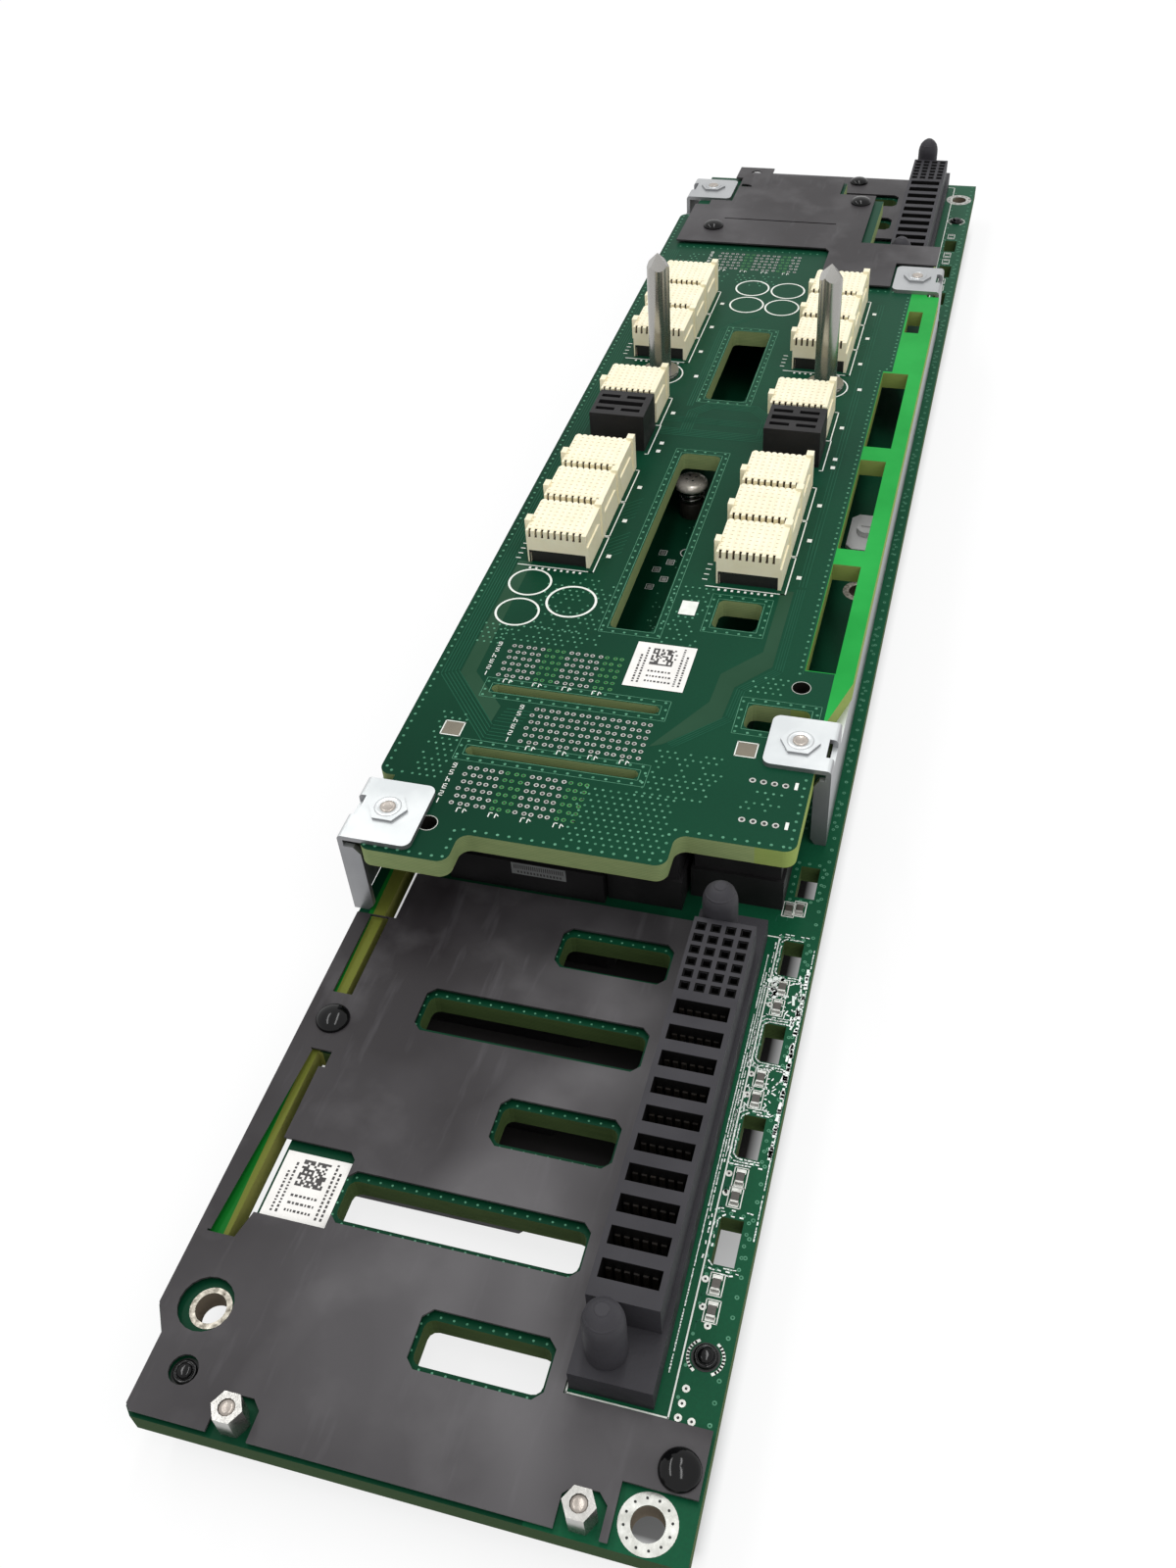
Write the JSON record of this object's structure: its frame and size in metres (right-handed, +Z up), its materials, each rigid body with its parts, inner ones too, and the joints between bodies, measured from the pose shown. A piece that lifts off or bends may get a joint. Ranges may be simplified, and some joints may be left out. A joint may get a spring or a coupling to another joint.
{
  "type": "drive backplane board",
  "caption": "Long two-level circuit board for a row of disk drives, with power connectors at both ends and ribbed press-fit receptacles in two columns.",
  "frame": {"origin": "centre of the bounding box in X and Y, at the mouths of the drive receptacles on the underside", "axes": "+Y along the board from the near power connector to the far one, +Z up out of the connector side, +X to the right seen from the near end"},
  "size_m": [0.0841, 0.4384, 0.061],
  "materials": {
    "green_board": "satin green solder mask on glass laminate",
    "grey_film": "dark grey polyester film, slightly smudged",
    "charcoal_plastic": "moulded charcoal plastic",
    "cream_plastic": "moulded cream plastic with fine ribs",
    "black_plastic": "moulded black plastic",
    "black_gloss": "smooth black nylon",
    "pin_steel": "turned steel, nickel plated",
    "zinc_sheet": "zinc plated sheet metal",
    "chip_ceramic": "black glazed chips with tinned ends"
  },
  "bodies": {
    "root": {"lower_board": "green_board", "upper_board": "green_board", "board_connectors": "black_plastic", "lower_insulator_near": "grey_film", "lower_insulator_far": "grey_film", "upper_insulator": "grey_film", "power_connector_near": "charcoal_plastic", "power_connector_far": "charcoal_plastic", "left_receptacle_1": "cream_plastic", "left_receptacle_2": "cream_plastic", "left_receptacle_3": "cream_plastic", "left_receptacle_4": "cream_plastic", "left_receptacle_5": "cream_plastic", "left_receptacle_6": "cream_plastic", "left_receptacle_7": "cream_plastic", "right_receptacle_1": "cream_plastic", "right_receptacle_2": "cream_plastic", "right_receptacle_3": "cream_plastic", "right_receptacle_4": "cream_plastic", "right_receptacle_5": "cream_plastic", "right_receptacle_6": "cream_plastic", "right_receptacle_7": "cream_plastic", "power_block_left": "black_plastic", "power_block_right": "black_plastic", "guide_pin_left": "pin_steel", "guide_pin_right": "pin_steel", "side_rail_left": "zinc_sheet", "side_rail_right": "zinc_sheet", "rail_nuts": "zinc_sheet", "chip_resistors": "chip_ceramic", "hex_standoffs": "pin_steel", "dome_rivets": "black_gloss", "snap_posts": "black_plastic", "captive_screw": "pin_steel", "clip_plate": "zinc_sheet", "clip_screw": "pin_steel", "drive_receptacle_01": "black_plastic", "drive_receptacle_02": "black_plastic", "drive_receptacle_03": "black_plastic", "drive_receptacle_04": "black_plastic", "drive_receptacle_05": "black_plastic", "drive_receptacle_06": "black_plastic", "drive_receptacle_07": "black_plastic", "drive_receptacle_08": "black_plastic", "drive_receptacle_09": "black_plastic", "drive_receptacle_10": "black_plastic", "drive_receptacle_11": "black_plastic", "drive_receptacle_12": "black_plastic", "drive_receptacle_13": "black_plastic", "drive_receptacle_14": "black_plastic", "drive_receptacle_15": "black_plastic", "drive_receptacle_16": "black_plastic", "drive_receptacle_17": "black_plastic", "drive_receptacle_18": "black_plastic", "drive_receptacle_19": "black_plastic", "drive_receptacle_20": "black_plastic", "drive_receptacle_21": "black_plastic", "drive_receptacle_22": "black_plastic", "drive_receptacle_23": "black_plastic", "drive_receptacle_24": "black_plastic"}
  },
  "joints": []
}
